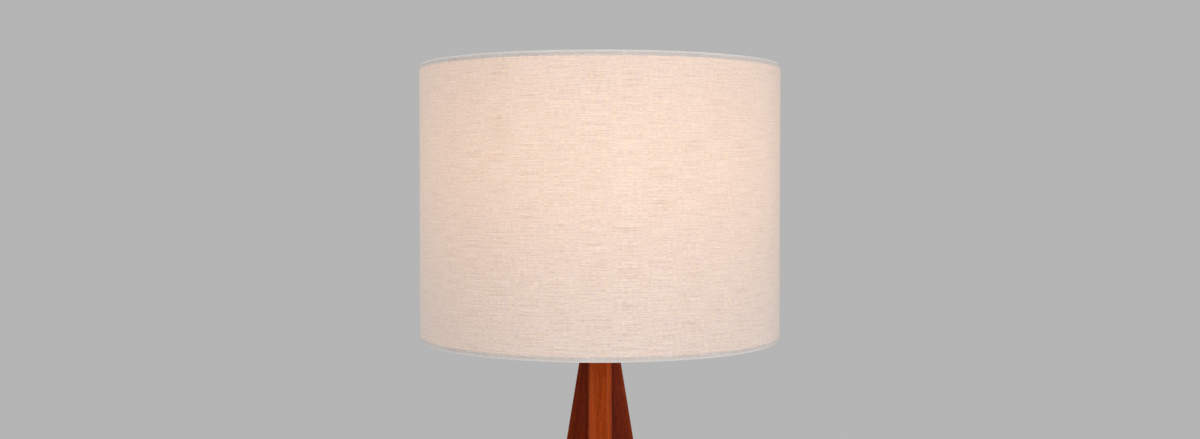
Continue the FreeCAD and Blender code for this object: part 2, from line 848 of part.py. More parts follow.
def bulb_base():
    """Aluminium screw cap of the bulb, a thin shell with a bevelled foot."""
    r = bulb_base_d / 2
    foot_r = r - bulb_base_chamfer
    return turned([
        (foot_r - bulb_base_wall, bulb_screw_z),
        (foot_r, bulb_screw_z),
        (r, bulb_screw_z + bulb_base_chamfer),
        (r, bulb_neck_z),
        (r - bulb_base_wall, bulb_neck_z),
        (r - bulb_base_wall, bulb_screw_z + bulb_base_chamfer),
    ])


def bulb_insulator():
    """Glass cone between the bulb's tip and its screw cap."""
    bottom = bulb_z + bulb_tip_height
    return turned([
        (0, bottom),
        (bulb_tip_d / 2, bottom),
        (bulb_base_d / 2 - bulb_base_chamfer, bulb_screw_z),
        (0, bulb_screw_z),
    ])


def bulb_tip():
    return turned([
        (0, bulb_z),
        (bulb_tip_d / 2, bulb_z, bulb_tip_edge),
        (bulb_tip_d / 2, bulb_z + bulb_tip_height),
        (0, bulb_z + bulb_tip_height),
    ])


def bulb_mount():
    """Glass flare sealed into the bulb's neck, drawn up to the rod that holds the lead wires."""
    foot_r = bulb_neck_r - glass_wall
    return turned([
        (0, bulb_neck_z),
        (foot_r, bulb_neck_z),
        (foot_r, bulb_neck_z + mount_foot_height),
        (mount_rod_d / 2, bulb_neck_z + mount_cone_height, mount_bend),
        (mount_rod_d / 2, mount_top_z, mount_tip),
        (0, mount_top_z),
    ])


def bulb_filament():
    """Lead wires that rise from the glass mount and the filament that arches between them."""
    lead = point(lead_spread / 2, mount_top_z)
    bend = point(lead_spread / 2, mount_top_z + lead_rise)
    corner = point(filament_half, mount_top_z + filament_rise)
    crown = point(0, mount_top_z + filament_rise + filament_arch)
    right = [lead, bend, corner, crown]
    left = [point(-place.x, place.z) for place in reversed(right[:-1])]
    places = right + left
    runs = [rod(filament_d / 2, start, end) for start, end in zip(places, places[1:])]
    joints = [Part.makeSphere(filament_d / 2, place) for place in places[1:-1]]
    return runs[0].fuse(runs[1:] + joints).removeSplitter()


def shade_ring(z):
    return Part.makeTorus(ring_r, ring_wire_d / 2, up * z, up)


def spider_washer():
    """Washer of the shade's fitter, which sits on the harp's seat."""
    return ring_of(spider_washer_r, stud_d / 2 + spider_hole_fit, seat_z, finial_z)


def spider_arm(direction, extra=0.0):
    """Round rod along one arm of the fitter, from the washer's middle to just short of the top ring's."""
    inner = up * (seat_z + spider_washer_thickness / 2)
    way = across(direction, ring_r, ring_top_z) - inner
    length = way.Length - spider_stop
    return Part.makeCylinder(spider_wire_d / 2 + extra, length, inner, way)


def spider_arms():
    """Three arms welded to the washer's edge and to the top ring, coped to both."""
    hub = rod(spider_washer_r, up * (seat_z - fitter_drop), up * (seat_z + fitter_drop))
    arms = [spider_arm(direction).cut(hub).cut(shade_ring(ring_top_z)) for direction in spider_directions]
    return Part.makeCompound(arms)


def shade_liner():
    """Stiff translucent sheet that the linen is laminated to, cut short of the rings."""
    edge = ring_wire_d / 2 + hem_fit
    return ring_of(liner_r, liner_r - liner_thickness, ring_bottom_z + edge, ring_top_z - edge)


def shade_fabric():
    """Linen drum whose edges are rolled over the wire rings and turned in, slit round the fitter's arms."""
    inner_r = hem_r - fabric_thickness
    outwards = Vector(1, 0, 0)

    def run(start, end):
        return Part.LineSegment(start, end).toShape()

    def hem(ring, way):
        """Section of one hem, from the drum's outside round the ring to its inside."""
        lip = up * (-way * hem_lip)
        outer_end = ring - outwards * hem_r
        inner_end = ring - outwards * inner_r
        return [
            Part.Arc(ring + outwards * hem_r, ring + up * (way * hem_r), outer_end).toShape(),
            run(outer_end, outer_end + lip),
            run(outer_end + lip, inner_end + lip),
            run(inner_end + lip, inner_end),
            Part.Arc(inner_end, ring + up * (way * inner_r), ring + outwards * inner_r).toShape(),
        ]

    top = point(ring_r, ring_top_z)
    bottom = point(ring_r, ring_bottom_z)
    outline = hem(top, 1)
    outline.append(run(top + outwards * inner_r, bottom + outwards * inner_r))
    outline += reversed(hem(bottom, -1))
    outline.append(run(bottom + outwards * hem_r, top + outwards * hem_r))
    made = Part.Face(Part.Wire(outline)).revolve(Vector(), up, 360)
    for direction in spider_directions:
        made = made.cut(spider_arm(direction, spider_slit))
    return made


def main():
    nodes = {}
    for name, direction in leg_directions.items():
        nodes["leg_" + name] = leg(direction)
        nodes["glide_" + name] = glide(direction)
    nails = [foot_nail(direction) for direction in leg_directions.values()]
    dowels = [rod(dowel_d / 2, start, end) for start, end in dowel_ends()]
    nodes["glide_nails"] = Part.makeCompound(nails)
    nodes["leg_dowels"] = Part.makeCompound(dowels)
    nodes["lamp_pipe"] = ring_of(pipe_r, pipe_bore_d / 2, pipe_bottom_z, cup_z)
    nodes["core_washer"] = ring_of(pipe_hole_r + washer_rim, pipe_hole_r, nut_top_z, crotch_height)
    nodes["lock_nut"] = lock_nut()
    nodes["cord_bushing"] = cord_bushing()
    nodes["top_cap"] = top_cap()
    nodes["neck"] = neck()
    nodes["harp_saddle"] = harp_saddle()
    nodes["harp"] = harp()
    nodes["harp_stud"] = harp_stud()
    nodes["harp_sleeve_left"] = harp_sleeve(-1)
    nodes["harp_sleeve_right"] = harp_sleeve(1)
    nodes["finial"] = finial()
    nodes["finial_insert"] = finial_insert()
    nodes["holder_cap"] = holder_cap()
    nodes["set_screw"] = set_screw()
    nodes["holder_shell"] = holder_shell()
    nodes["holder_paper"] = holder_paper()
    nodes["holder_interior"] = holder_interior()
    nodes["screw_shell"] = screw_shell()
    nodes["centre_contact"] = centre_contact()
    nodes["terminal_screws"] = Part.makeCompound([terminal_screw(side)[0] for side in (-1, 1)])
    nodes["switch_stem"] = switch_stem()
    nodes["switch_knob"] = switch_knob()
    nodes["bulb_globe"] = bulb_globe()
    nodes["bulb_base"] = bulb_base()
    nodes["bulb_insulator"] = bulb_insulator()
    nodes["bulb_tip"] = bulb_tip()
    nodes["bulb_mount"] = bulb_mount()
    nodes["bulb_filament"] = bulb_filament()
    nodes["shade_top_ring"] = shade_ring(ring_top_z)
    nodes["shade_bottom_ring"] = shade_ring(ring_bottom_z)
    nodes["spider_washer"] = spider_washer()
    nodes["spider_arms"] = spider_arms()
    nodes["shade_liner"] = shade_liner()
    nodes["shade_fabric"] = shade_fabric()
    os.makedirs("parts", exist_ok=True)
    for name, shape in nodes.items():
        shape.exportStep(os.path.join("parts", name + ".step"))
        volume = round(shape.Volume / 1000, 3)
        print(name, "solids", len(shape.Solids), "valid", shape.isValid(), "cm3", volume)


main()
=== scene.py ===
import json
import math

import bpy
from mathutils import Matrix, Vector


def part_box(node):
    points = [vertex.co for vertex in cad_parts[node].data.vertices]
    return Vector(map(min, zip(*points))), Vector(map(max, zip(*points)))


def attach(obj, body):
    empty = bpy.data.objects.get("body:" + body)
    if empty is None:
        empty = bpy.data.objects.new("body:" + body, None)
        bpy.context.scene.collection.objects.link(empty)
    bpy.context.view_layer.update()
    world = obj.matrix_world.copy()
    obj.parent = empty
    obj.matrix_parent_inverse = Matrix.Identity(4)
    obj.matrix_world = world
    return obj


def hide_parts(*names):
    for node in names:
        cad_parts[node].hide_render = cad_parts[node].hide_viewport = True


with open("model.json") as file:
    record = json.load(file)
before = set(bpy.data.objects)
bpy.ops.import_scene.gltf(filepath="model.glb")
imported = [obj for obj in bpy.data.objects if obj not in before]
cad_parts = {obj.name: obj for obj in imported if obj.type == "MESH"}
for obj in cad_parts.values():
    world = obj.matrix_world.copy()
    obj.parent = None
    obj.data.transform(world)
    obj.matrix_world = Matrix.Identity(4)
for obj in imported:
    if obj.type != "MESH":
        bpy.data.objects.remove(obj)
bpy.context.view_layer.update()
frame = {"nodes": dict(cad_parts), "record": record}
cadNodes = frame["nodes"]
print("frame loaded,", len(cadNodes), "nodes")


# Sizes of the shade, read from the frame

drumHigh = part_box("shade_fabric")[1]
ringLow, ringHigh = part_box("shade_top_ring")
lowerRingLow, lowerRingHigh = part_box("shade_bottom_ring")
bulbLow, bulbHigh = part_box("bulb_globe")
drum = {
    "outerRadius": drumHigh.x,
    "ringRadius": ringHigh.x - (ringHigh.z - ringLow.z) / 2,         # middle of the wire
    "topRingZ": (ringLow.z + ringHigh.z) / 2,
    "bottomRingZ": (lowerRingLow.z + lowerRingHigh.z) / 2,
    "bulbZ": bulbHigh.z - (bulbHigh.x - bulbLow.x) / 2,              # middle of the globe
    "glowRise": 0.016,       # brightest above the bulb's middle, as the holder shades what is below
}


# Node helpers

noiseSpan = (0.3, 0.7)       # most values of a noise lie between these
noiseMiddle = 0.5
skinOutputs = [("Color", "Color"), ("Roughness", "Float"), ("Height", "Float")]


def feed(tree, value, socket):
    if isinstance(value, bpy.types.NodeSocket):
        tree.links.new(value, socket)
    else:
        socket.default_value = value


def calc(tree, operation, first, second=0.0, clamp=False):
    node = tree.nodes.new("ShaderNodeMath")
    node.operation = operation
    node.use_clamp = clamp
    feed(tree, first, node.inputs[0])
    feed(tree, second, node.inputs[1])
    return node.outputs[0]


def plus(tree, first, second, clamp=False):
    return calc(tree, "ADD", first, second, clamp)


def minus(tree, first, second):
    return calc(tree, "SUBTRACT", first, second)


def times(tree, first, second):
    return calc(tree, "MULTIPLY", first, second)


def addShares(tree, total, shares):
    for value, share in shares:
        total = plus(tree, total, times(tree, value, share))
    return total


def mapRange(tree, value, fromLow, fromHigh, toLow=0.0, toHigh=1.0, smooth=False):
    node = tree.nodes.new("ShaderNodeMapRange")
    node.interpolation_type = "SMOOTHSTEP" if smooth else "LINEAR"
    for socket, given in zip(node.inputs, (value, fromLow, fromHigh, toLow, toHigh)):
        feed(tree, given, socket)
    return node.outputs[0]


def mixColour(tree, amount, first, second, blend="MIX"):
    node = tree.nodes.new("ShaderNodeMix")
    node.data_type = "RGBA"
    node.blend_type = blend
    feed(tree, amount, node.inputs["Factor"])
    feed(tree, first, node.inputs[6])        # the node's colour sockets
    feed(tree, second, node.inputs[7])
    return node.outputs[2]


def mixShaders(tree, amount, first, second, output):
    node = tree.nodes.new("ShaderNodeMixShader")
    feed(tree, amount, node.inputs[0])
    feed(tree, first.outputs[0], node.inputs[1])
    feed(tree, second.outputs[0], node.inputs[2])
    feed(tree, node.outputs[0], output.inputs["Surface"])


def stretch(tree, vector, scale=(1, 1, 1), turn=(0, 0, 0), shift=(0, 0, 0)):
    node = tree.nodes.new("ShaderNodeMapping")
    feed(tree, vector, node.inputs["Vector"])
    node.inputs["Location"].default_value = shift
    node.inputs["Rotation"].default_value = [math.radians(angle) for angle in turn]
    node.inputs["Scale"].default_value = scale
    return node.outputs[0]


def noise(tree, place, cells, detail=2.0, roughness=0.5, shift=(0, 0, 0)):
    # cells in a metre, one number or one for each axis
    scale = cells if isinstance(cells, tuple) else (cells, cells, cells)
    node = tree.nodes.new("ShaderNodeTexNoise")
    feed(tree, stretch(tree, place, scale, shift=shift), node.inputs["Vector"])
    node.inputs["Scale"].default_value = 1.0
    node.inputs["Detail"].default_value = detail
    node.inputs["Roughness"].default_value = roughness
    return node.outputs["Fac"]


def axesOf(tree, vector):
    node = tree.nodes.new("ShaderNodeSeparateXYZ")
    feed(tree, vector, node.inputs[0])
    return node.outputs


def fromAxis(tree, axes):
    squares = plus(tree, times(tree, axes[0], axes[0]), times(tree, axes[1], axes[1]))
    return calc(tree, "SQRT", squares)


def newGroup(name, inputs, outputs):
    tree = bpy.data.node_groups.new(name, "ShaderNodeTree")
    for label, kind, value in inputs:
        socket = tree.interface.new_socket(label, in_out="INPUT", socket_type="NodeSocket" + kind)
        if value is not None:
            socket.default_value = value
    for label, kind in outputs:
        tree.interface.new_socket(label, in_out="OUTPUT", socket_type="NodeSocket" + kind)
    given = tree.nodes.new("NodeGroupInput").outputs
    result = tree.nodes.new("NodeGroupOutput").inputs
    return tree, given, result


def useGroup(tree, group, vector, values):
    node = tree.nodes.new("ShaderNodeGroup")
    node.node_tree = group
    feed(tree, vector, node.inputs["Vector"])
    for label, value in values.items():
        feed(tree, value, node.inputs[label])
    return node.outputs


def newMaterial(name, plain):
    made = bpy.data.materials.new(name)
    made.use_nodes = True
    shader = made.node_tree.nodes["Principled BSDF"]
    for label, value in plain.items():
        shader.inputs[label].default_value = value
    return made, made.node_tree, shader.inputs


def objectPlace(tree):
    return tree.nodes.new("ShaderNodeTexCoord").outputs["Object"]


def addBump(tree, height, sockets, strength, distance):
    node = tree.nodes.new("ShaderNodeBump")
    node.inputs["Strength"].default_value = strength
    node.inputs["Distance"].default_value = distance
    feed(tree, height, node.inputs["Height"])
    feed(tree, node.outputs[0], sockets["Normal"])


def grey(value):
    return (value, value, value, 1)


# Wood grain, shared by the legs and the dowels

woodLook = {
    "wander": {"cells": (45, 45, 4), "detail": 3},
    "fibre": {"cells": (1100, 1100, 14), "detail": 3, "roughness": 0.6},
    "streak": {"cells": (300, 300, 5)},
    "cloud": {"cells": (30, 30, 7)},
    "dashes": {"cells": (900, 900, 210), "detail": 1},
    "pores": {"cells": (2300, 2300, 95), "detail": 1},
    "ringSlant": 0.45,       # rings cross the board aslant
    "ringWander": 0.03,
    "ringShare": 0.22,
    "fibreShare": 0.55,
    "streakShare": 0.6,
    "cloudShare": 0.45,
    "shadeSpan": (0.55, 1.25),
    "dashSpan": (0.56, 0.72),
    "dashShare": 0.5,
    "poreSpan": (0.6, 0.72),
    "poreShare": 0.6,
    "roughness": (0.36, 0.48),
    "poreRoughness": 0.15,
    "fibreRelief": 0.35,
    "bump": (0.2, 0.0002),   # strength and distance, as for every finish
}


def makeWoodGrain():
    tree, given, result = newGroup("woodGrain", [
        ("Vector", "Vector", None),          # metres, grain along Z
        ("Pale", "Color", grey(0.5)),
        ("Dark", "Color", grey(0.2)),
        ("Pore", "Color", grey(0.1)),
        ("Ring Width", "Float", 0.004),
    ], skinOutputs)
    place = given["Vector"]
    axes = axesOf(tree, place)
    wander = noise(tree, place, **woodLook["wander"])
    across = plus(tree, axes[0], times(tree, axes[1], woodLook["ringSlant"]))
    ringPlace = plus(tree, across, times(tree, wander, woodLook["ringWander"]))
    turns = calc(tree, "DIVIDE", ringPlace, given["Ring Width"])
    rings = mapRange(tree, calc(tree, "SINE", times(tree, turns, 2 * math.pi)), -1, 1)
    fibre = noise(tree, place, **woodLook["fibre"])
    shade = addShares(tree, 0.0, (
        (rings, woodLook["ringShare"]),
        (fibre, woodLook["fibreShare"]),
        (noise(tree, place, **woodLook["streak"]), woodLook["streakShare"]),
        (noise(tree, place, **woodLook["cloud"]), woodLook["cloudShare"]),
    ))
    shade = mapRange(tree, shade, *woodLook["shadeSpan"])
    wood = mixColour(tree, shade, given["Pale"], given["Dark"])
    dashes = noise(tree, place, **woodLook["dashes"])
    dashes = mapRange(tree, dashes, *woodLook["dashSpan"], 0, woodLook["dashShare"])
    wood = mixColour(tree, dashes, wood, given["Pore"])
    pores = mapRange(tree, noise(tree, place, **woodLook["pores"]), *woodLook["poreSpan"])
    wood = mixColour(tree, times(tree, pores, woodLook["poreShare"]), wood, given["Pore"])
    feed(tree, wood, result["Color"])
    rough = mapRange(tree, fibre, *noiseSpan, *woodLook["roughness"])
    rough = plus(tree, rough, times(tree, pores, woodLook["poreRoughness"]))
    feed(tree, rough, result["Roughness"])
    feed(tree, minus(tree, times(tree, fibre, woodLook["fibreRelief"]), pores), result["Height"])
    return tree


# Metal skin, shared by the brass, steel, aluminium and solder

metalLook = {
    "lines": {"cells": 3800},                                # left by the lathe
    "smudge": {"cells": 70, "detail": 4, "roughness": 0.6},
    "tarnish": {"cells": 240, "detail": 5, "roughness": 0.7},
    "tarnishShare": 0.6,
    "dullSpan": (0.65, 1.05),
    "lineRoughness": 0.12,
    "tarnishRelief": 0.2,
    "bump": (0.12, 0.0001),
}


def makeMetalSkin():
    tree, given, result = newGroup("metalSkin", [
        ("Vector", "Vector", None),
        ("Bright", "Color", grey(0.8)),
        ("Dull", "Color", grey(0.4)),
        ("Smooth", "Float", 0.2),
        ("Rough", "Float", 0.4),
        ("Turned", "Float", 1.0),            # how clear the lathe's lines are
    ], skinOutputs)
    place = given["Vector"]
    axes = axesOf(tree, place)
    turnedPlace = tree.nodes.new("ShaderNodeCombineXYZ")
    feed(tree, fromAxis(tree, axes), turnedPlace.inputs[0])
    feed(tree, axes[2], turnedPlace.inputs[2])
    lines = noise(tree, turnedPlace.outputs[0], **metalLook["lines"])
    lines = times(tree, minus(tree, lines, noiseMiddle), given["Turned"])
    smudge = noise(tree, place, **metalLook["smudge"])
    tarnish = noise(tree, place, **metalLook["tarnish"])
    worn = plus(tree, smudge, times(tree, tarnish, metalLook["tarnishShare"]))
    dull = mapRange(tree, worn, *metalLook["dullSpan"])
    feed(tree, mixColour(tree, dull, given["Bright"], given["Dull"]), result["Color"])
    rough = mapRange(tree, dull, 0, 1, given["Smooth"], given["Rough"])
    rough = plus(tree, rough, times(tree, lines, metalLook["lineRoughness"]), clamp=True)
    feed(tree, rough, result["Roughness"])
    feed(tree, plus(tree, lines, times(tree, tarnish, metalLook["tarnishRelief"])), result["Height"])
    return tree


# Moulded skin, shared by the plastics, the paper and the enamelled wire

mouldedLook = {
    "peel": {"cells": 1600},
    "rubbed": {"cells": 120, "detail": 4, "roughness": 0.65},
    "rubbedSpan": (0.42, 0.7),
    "bump": (0.15, 0.0001),
}


def makeMouldedSkin():
    tree, given, result = newGroup("mouldedSkin", [
        ("Vector", "Vector", None),
        ("Body", "Color", grey(0.1)),
        ("Rubbed", "Color", grey(0.15)),
        ("Smooth", "Float", 0.35),
        ("Rough", "Float", 0.5),
    ], skinOutputs)
    place = given["Vector"]
    rubbed = mapRange(tree, noise(tree, place, **mouldedLook["rubbed"]), *mouldedLook["rubbedSpan"])
    feed(tree, mixColour(tree, rubbed, given["Body"], given["Rubbed"]), result["Color"])
    feed(tree, mapRange(tree, rubbed, 0, 1, given["Smooth"], given["Rough"]), result["Roughness"])
    feed(tree, noise(tree, place, **mouldedLook["peel"]), result["Height"])
    return tree


# Glow of the bulb on the shade, shared by the linen and the liner

glowLook = {
    "scattered": 0.35,       # even part, from light that bounces inside the drum
    "fallOff": -1.5,         # power of the squared distance, for light on a wall
}


def makeLampGlow():
    tree, given, result = newGroup("lampGlow", [
        ("Vector", "Vector", None),
        ("Bulb Height", "Float", drum["bulbZ"] + drum["glowRise"]),
        ("Distance", "Float", drum["outerRadius"]),
        ("Scattered", "Float", glowLook["scattered"]),
    ], [("Glow", "Float")])
    rise = minus(tree, axesOf(tree, given["Vector"])[2], given["Bulb Height"])
    away = calc(tree, "DIVIDE", rise, given["Distance"])
    direct = calc(tree, "POWER", plus(tree, times(tree, away, away), 1), glowLook["fallOff"])
    whole = plus(tree, given["Scattered"], 1)
    feed(tree, calc(tree, "DIVIDE", plus(tree, direct, given["Scattered"]), whole), result["Glow"])
    return tree


woodGrain = makeWoodGrain()
metalSkin = makeMetalSkin()
mouldedSkin = makeMouldedSkin()
lampGlow = makeLampGlow()
print("shared effects made")


# Camera at the photograph's angle

camera = {
    "place": (0.0, -1.2846, 0.549),
    "downDeg": 1.91,
    "lens": 38.63,
}


def setCamera():
    turn = (math.radians(90 - camera["downDeg"]), 0, 0)
    bpy.ops.object.camera_add(location=camera["place"], rotation=turn)
    made = bpy.context.object
    made.data.lens = camera["lens"]
    bpy.context.scene.camera = made


# Floor, backdrop and light

studio = {
    "backdrop": 0.46,        # pale grey behind the lamp
    "floorColour": 0.56,
    "floorRoughness": 0.9,
    "floorShine": 0.1,
    "floorSize": 80.0,
    "fadeFrom": 0.5,         # floor turns into backdrop between these distances
    "fadeTo": 1.5,
    "ambient": 0.40,
    "aim": (0.0, 0.0, 0.45),
    "lamps": {
        "key": {"place": (1.9, -1.8, 0.5), "size": 1.1, "power": 38.5},
        "fill": {"place": (-2.0, -1.8, 0.9), "size": 1.4, "power": 29.5},
        "back": {"place": (-0.8, 2.3, 1.9), "size": 1.6, "power": 22.0},
    },
}


def seenDirectly(tree):
    path = tree.nodes.new("ShaderNodeLightPath").outputs
    seen = calc(tree, "MAXIMUM", path["Is Camera Ray"], path["Is Glossy Ray"])
    return calc(tree, "MAXIMUM", seen, path["Is Transmission Ray"])


def setFloor():
    bpy.ops.object.select_all(action="DESELECT")
    bpy.ops.mesh.primitive_plane_add(size=studio["floorSize"])
    floor = bpy.context.object
    floor.name = "studioFloor"
    made, tree = newMaterial("paleFloor", {
        "Base Color": grey(studio["floorColour"]),
        "Roughness": studio["floorRoughness"],
        "Specular IOR Level": studio["floorShine"],
    })[:2]
    far = fromAxis(tree, axesOf(tree, objectPlace(tree)))
    fade = mapRange(tree, far, studio["fadeFrom"], studio["fadeTo"], smooth=True)
    amount = times(tree, fade, seenDirectly(tree))
    backdrop = tree.nodes.new("ShaderNodeEmission")
    backdrop.inputs["Color"].default_value = grey(studio["backdrop"])
    mixShaders(tree, amount, tree.nodes["Principled BSDF"], backdrop, tree.nodes["Material Output"])
    floor.data.materials.append(made)


def setWorld():
    world = bpy.data.worlds.new("softRoom")
    world.use_nodes = True
    tree = world.node_tree
    ambient = tree.nodes["Background"]
    ambient.inputs["Strength"].default_value = studio["ambient"]
    ambient.inputs["Color"].default_value = grey(1.0)
    backdrop = tree.nodes.new("ShaderNodeBackground")
    backdrop.inputs["Color"].default_value = grey(studio["backdrop"])
    mixShaders(tree, seenDirectly(tree), ambient, backdrop, tree.nodes["World Output"])
    bpy.context.scene.world = world


def setLamps():
    for name, lamp in studio["lamps"].items():
        way = Vector(studio["aim"]) - Vector(lamp["place"])
        turn = way.to_track_quat("-Z", "Y").to_euler()
        bpy.ops.object.light_add(type="AREA", location=lamp["place"], rotation=turn)
        made = bpy.context.object
        made.name = name + "Light"
        made.data.shape = "SQUARE"
        made.data.size = lamp["size"]
        made.data.energy = lamp["power"]


bpy.context.scene.view_settings.view_transform = "Standard"
setCamera()
setFloor()
setWorld()
setLamps()
print("camera, floor and light set")


# Sheets that are rolled from a flat grid

def clampUnit(value):
    return min(max(value, 0.0), 1.0)


def addGrid(name, columns, rows):
    # flat grid of size 1, with the column and row of each of its vertices
    bpy.ops.object.select_all(action="DESELECT")
    bpy.ops.mesh.primitive_grid_add(x_subdivisions=columns, y_subdivisions=rows, size=1)
    sheet = bpy.context.object
    sheet.name = name
    places = []
    for vertex in sheet.data.vertices:
        places.append((round((vertex.co.x + 0.5) * columns), round((vertex.co.y + 0.5) * rows)))
    return sheet, places


def thickenSheet(sheet, thickness, smoothDeg):
    solid = sheet.modifiers.new("sheetThickness", "SOLIDIFY")
    solid.thickness = thickness
    solid.offset = 0
    bpy.ops.object.modifier_apply(modifier=solid.name)
    bpy.ops.object.shade_smooth_by_angle(angle=math.radians(smoothDeg))


# Linen sheet rolled round the two rings, with its ends lapped at the back

linen = {
    "thickness": 0.0006,
    "lip": 0.004,            # turned-in edge beyond the ring's middle
    "lap": 0.012,
    "lapRamp": 0.010,        # where the top layer climbs on the lower one
    "lapRise": 1.25,         # thicknesses that it climbs
    "seamDeg": 112.0,
    "aroundSteps": 560,
    "lipSteps": 2,
    "rollSteps": 12,
    "wallSteps": 34,
    "smoothDeg": 50.0,
    "waviness": 0.00012,
    "waves": (               # times around, radians in a metre of height, start, share
        (5, 9, 0.0, 1.0),
        (11, -23, 1.0, 0.7),
    ),
    "waveFade": 0.02,        # wall lies flat towards the rings
    "puckers": 0.00010,
    "puckerWaves": (         # times around, start, share
        (83, 0.0, 1.0),
        (131, 2.0, 1.0),
        (211, 0.7, 0.6),
    ),
    "puckerReach": 0.006,    # from the rings
    "armsDeg": (90.0, 210.0, 330.0),
    "notchHalf": 0.0026,     # hem cut back beside each arm
    "notchRoll": 0.42,       # share of the hem's roll that is cut with it
    "hemBand": 0.0023,       # doubled cloth on the wall beside each ring, which stays dark
}


def measureCloth():
    wallRadius = drum["outerRadius"] - linen["thickness"] / 2
    rollRadius = wallRadius - drum["ringRadius"]
    roll = math.pi * rollRadius
    wall = drum["topRingZ"] - drum["bottomRingZ"]
    around = 2 * math.pi * wallRadius
    return {
        "wallRadius": wallRadius,
        "rollRadius": rollRadius,
        "roll": roll,
        "wall": wall,
        "around": around,
        "width": around + linen["lap"],
        "height": wall + 2 * roll + 2 * linen["lip"],
    }


cloth = measureCloth()


def linenProfile(along):
    # place (radius, height) and outer normal at a length along the cut sheet, from its lower edge
    roll = cloth["roll"]
    wall = cloth["wall"]
    rollRadius = cloth["rollRadius"]
    lipRadius = drum["ringRadius"] - rollRadius
    along -= linen["lip"]
    if along < 0:
        return lipRadius, drum["bottomRingZ"] - along, -1.0, 0.0
    if along < roll:
        angle = math.pi + along / rollRadius
        middle = drum["bottomRingZ"]
    elif along < roll + wall:
        return cloth["wallRadius"], drum["bottomRingZ"] + along - roll, 1.0, 0.0
    elif along < 2 * roll + wall:
        angle = (along - roll - wall) / rollRadius
        middle = drum["topRingZ"]
    else:
        return lipRadius, drum["topRingZ"] - (along - 2 * roll - wall), -1.0, 0.0
    outX = math.cos(angle)
    outZ = math.sin(angle)
    return drum["ringRadius"] + rollRadius * outX, middle + rollRadius * outZ, outX, outZ


def linenRows():
    lip = (linen["lip"], linen["lipSteps"])
    roll = (cloth["roll"], linen["rollSteps"])
    wall = (cloth["wall"], linen["wallSteps"])
    rows = [0.0]
    for length, count in (lip, roll, wall, roll, lip):
        start = rows[-1]
        rows += [start + length * (step + 1) / count for step in range(count)]
    return rows


def linenLift(across, angle, z, outX):
    # how far the cloth stands off: the lap's top layer, waves of the wall, puckers at the rings
    climb = clampUnit((across - cloth["around"] + linen["lapRamp"]) / linen["lapRamp"])
    lift = climb * climb * (3 - 2 * climb) * linen["thickness"] * linen["lapRise"]
    fromRing = min(abs(z - drum["topRingZ"]), abs(z - drum["bottomRingZ"]))
    wavy = linen["waviness"] * min(1.0, fromRing / linen["waveFade"])
    for count, rise, start, share in linen["waves"]:
        lift += wavy * share * math.sin(count * angle + rise * z + start)
    puckered = linen["puckers"] * max(0.0, 1 - fromRing / linen["puckerReach"]) * max(outX, 0.0)
    for count, start, share in linen["puckerWaves"]:
        lift += puckered * share * math.sin(count * angle + start)
    return lift


def besideArm(across):
    # distance along the cloth to the nearest of the fitter's arms
    nearest = cloth["width"]
    for direction in linen["armsDeg"]:
        gap = across - math.radians(direction - linen["seamDeg"]) * cloth["wallRadius"]
        nearest = min(nearest, abs(gap - round(gap / cloth["around"]) * cloth["around"]))
    return nearest


def notchHem(sheet, flatPlaces):
    # hem is snipped where the fitter's arms reach the top ring
    cutFrom = cloth["height"] - linen["lip"] - cloth["roll"] * linen["notchRoll"]
    bpy.ops.object.mode_set(mode="EDIT")
    bpy.ops.mesh.select_mode(type="FACE")
    bpy.ops.mesh.select_all(action="DESELECT")
    bpy.ops.object.mode_set(mode="OBJECT")
    for face in sheet.data.polygons:
        corners = [flatPlaces[index] for index in face.vertices]
        across = sum(corner[0] for corner in corners) / len(corners)
        up = sum(corner[1] for corner in corners) / len(corners)
        face.select = up > cutFrom and besideArm(across) < linen["notchHalf"]
    bpy.ops.object.mode_set(mode="EDIT")
    bpy.ops.mesh.delete(type="FACE")
    bpy.ops.object.mode_set(mode="OBJECT")


def rollLinen():
    rows = linenRows()
    steps = linen["aroundSteps"]
    sheet, places = addGrid("linenShade", steps, len(rows) - 1)
    flatPlaces = [(cloth["width"] * column / steps, rows[row]) for column, row in places]
    for vertex, (across, up) in zip(sheet.data.vertices, flatPlaces):
        radius, z, outX, outZ = linenProfile(up)
        angle = math.radians(linen["seamDeg"]) + across / cloth["wallRadius"]
        lift = linenLift(across, angle, z, outX)
        radius += lift * outX
        vertex.co = (radius * math.cos(angle), radius * math.sin(angle), z + lift * outZ)
    # flat UV, in sheet widths both ways
    flatMap = sheet.data.uv_layers.active.data
    for loop in sheet.data.loops:
        across, up = flatPlaces[loop.vertex_index]
        flatMap[loop.index].uv = (across / cloth["width"], up / cloth["width"])
    notchHem(sheet, flatPlaces)
    thickenSheet(sheet, linen["thickness"], linen["smoothDeg"])
    sheet.data.materials.append(linenMaterial())
    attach(sheet, "shade")
    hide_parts("shade_fabric")


# Linen finish: uneven weft, fainter warp, slubs and a few dark flecks

